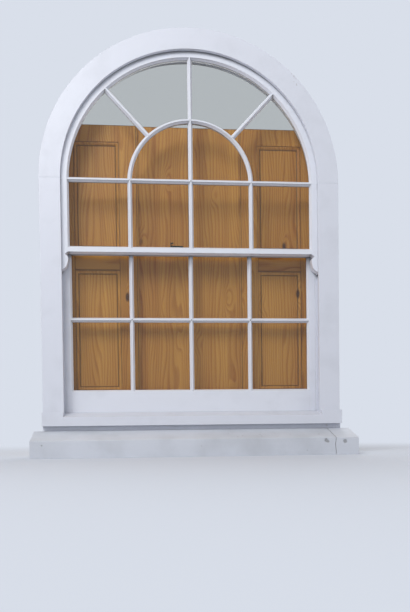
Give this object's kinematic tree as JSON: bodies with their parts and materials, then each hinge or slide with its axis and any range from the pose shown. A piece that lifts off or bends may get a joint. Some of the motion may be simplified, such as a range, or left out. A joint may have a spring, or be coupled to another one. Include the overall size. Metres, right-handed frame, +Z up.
{
  "type": "round-headed sash window",
  "caption": "Round-headed double-hung sash window in a weighted box frame, with timber and stone sills and folding pine shutters inside; both sashes slide and the shutters fold.",
  "frame": {"origin": "underside of the stone sill, on the centreline, in the plane of the upper sash's street face", "axes": "+X to the right seen from the street, +Y into the house, +Z up"},
  "size_m": [1.56, 0.358, 2.0949],
  "materials": {
    "stone_paint": "matte",
    "frame_paint": "satin",
    "sash_paint": "satin",
    "putty_paint": "satin",
    "window_glass": "gloss",
    "box_softwood": "matte",
    "pine_shutter": "satin",
    "pine_panel": "satin",
    "cast_iron": "matte",
    "aged_brass": "satin",
    "waxed_cord": "matte",
    "black_fitting": "satin",
    "steel_butt": "satin"
  },
  "bodies": {
    "root": {"stone_sill": "stone_paint", "timber_sill": "frame_paint", "pulley_stile_left": "frame_paint", "pulley_stile_right": "frame_paint", "pocket_pieces": "frame_paint", "pulley_cases": "aged_brass", "outer_lining_left": "frame_paint", "outer_lining_right": "frame_paint", "outer_arch_lining": "frame_paint", "inner_lining_left": "frame_paint", "inner_lining_right": "frame_paint", "inner_arch_lining": "frame_paint", "back_linings": "box_softwood", "parting_slips": "box_softwood", "head_board": "frame_paint", "head_blocks": "box_softwood", "parting_beads": "frame_paint", "staff_beads": "frame_paint", "upper_sash_cords": "waxed_cord", "lower_sash_cords": "waxed_cord", "shutter_post_left": "pine_shutter", "shutter_post_right": "pine_shutter", "post_butts": "steel_butt"},
    "upper_sash": {"upper_stile_left": "sash_paint", "upper_stile_right": "sash_paint", "upper_sash_head": "sash_paint", "upper_meeting_rail": "sash_paint", "upper_glazing_bars": "sash_paint", "upper_panes": "window_glass", "upper_putty": "putty_paint", "fastener_keep": "black_fitting"},
    "lower_sash": {"lower_stile_left": "sash_paint", "lower_stile_right": "sash_paint", "lower_meeting_rail": "sash_paint", "bottom_rail": "sash_paint", "lower_glazing_bars": "sash_paint", "lower_panes": "window_glass", "lower_putty": "putty_paint", "sash_lifts": "aged_brass", "fastener_base": "black_fitting"},
    "fastener_lever": {"fastener_lever": "black_fitting"},
    "upper_weights": {"upper_sash_weights": "cast_iron"},
    "lower_weights": {"lower_sash_weights": "cast_iron"},
    "pulley_upper_left": {"pulley_wheel_upper_left": "cast_iron"},
    "pulley_upper_right": {"pulley_wheel_upper_right": "cast_iron"},
    "pulley_lower_left": {"pulley_wheel_lower_left": "cast_iron"},
    "pulley_lower_right": {"pulley_wheel_lower_right": "cast_iron"},
    "leaf_left": {"leaf_frame_left": "pine_shutter", "leaf_panels_left": "pine_panel", "leaf_butts_left": "steel_butt"},
    "leaf_right": {"leaf_frame_right": "pine_shutter", "leaf_panels_right": "pine_panel", "leaf_butts_right": "steel_butt"},
    "flap_left": {"shutter_flap_left": "pine_shutter", "flap_butts_left": "steel_butt"},
    "flap_right": {"shutter_flap_right": "pine_shutter", "flap_butts_right": "steel_butt"}
  },
  "joints": [
    {"name": "upper_sash_slide", "type": "slide", "parent": "root", "child": "upper_sash", "axis": [0, 0, 1], "range_m": [-0.4, 0], "deforming": ["upper_sash_cords"]},
    {"name": "lower_sash_slide", "type": "slide", "parent": "root", "child": "lower_sash", "axis": [0, 0, 1], "range_m": [0, 0.28], "deforming": ["lower_sash_cords"]},
    {"name": "upper_weight_slide", "type": "slide", "parent": "root", "child": "upper_weights", "axis": [0, 0, 1], "range_m": [0, 0.4]},
    {"name": "lower_weight_slide", "type": "slide", "parent": "root", "child": "lower_weights", "axis": [0, 0, 1], "range_m": [-0.28, 0]},
    {"name": "pulley_upper_left_spin", "type": "hinge", "parent": "root", "child": "pulley_upper_left", "pos_m": [-0.671, 0.0225, 1.27505], "axis": [0, 1, 0], "continuous": true},
    {"name": "pulley_upper_right_spin", "type": "hinge", "parent": "root", "child": "pulley_upper_right", "pos_m": [0.671, 0.0225, 1.27505], "axis": [0, 1, 0], "continuous": true},
    {"name": "pulley_lower_left_spin", "type": "hinge", "parent": "root", "child": "pulley_lower_left", "pos_m": [-0.671, 0.0775, 1.27505], "axis": [0, 1, 0], "continuous": true},
    {"name": "pulley_lower_right_spin", "type": "hinge", "parent": "root", "child": "pulley_lower_right", "pos_m": [0.671, 0.0775, 1.27505], "axis": [0, 1, 0], "continuous": true},
    {"name": "fastener_turn", "type": "hinge", "parent": "lower_sash", "child": "fastener_lever", "pos_m": [-0.094, 0.07775, 1.0528], "axis": [0, 0, -1], "range_deg": [0, 90]},
    {"name": "leaf_left_hinge", "type": "hinge", "parent": "root", "child": "leaf_left", "pos_m": [-0.639, 0.161, 0.95505], "axis": [0, 0, 1], "range_deg": [0, 90]},
    {"name": "flap_left_hinge", "type": "hinge", "parent": "leaf_left", "child": "flap_left", "pos_m": [-0.267, 0.161, 0.95505], "axis": [0, 0, 1], "range_deg": [0, 180]},
    {"name": "leaf_right_hinge", "type": "hinge", "parent": "root", "child": "leaf_right", "pos_m": [0.639, 0.161, 0.95505], "axis": [0, 0, -1], "range_deg": [0, 90]},
    {"name": "flap_right_hinge", "type": "hinge", "parent": "leaf_right", "child": "flap_right", "pos_m": [0.267, 0.161, 0.95505], "axis": [0, 0, -1], "range_deg": [0, 180]}
  ],
  "couplings": [
    {"joint": "upper_weight_slide", "follows": "upper_sash_slide", "ratio": -1},
    {"joint": "lower_weight_slide", "follows": "lower_sash_slide", "ratio": -1},
    {"joint": "pulley_upper_left_spin", "follows": "upper_sash_slide", "rad_per_m": -38.462},
    {"joint": "pulley_upper_right_spin", "follows": "upper_sash_slide", "rad_per_m": 38.462},
    {"joint": "pulley_lower_left_spin", "follows": "lower_sash_slide", "rad_per_m": -38.462},
    {"joint": "pulley_lower_right_spin", "follows": "lower_sash_slide", "rad_per_m": 38.462}
  ]
}
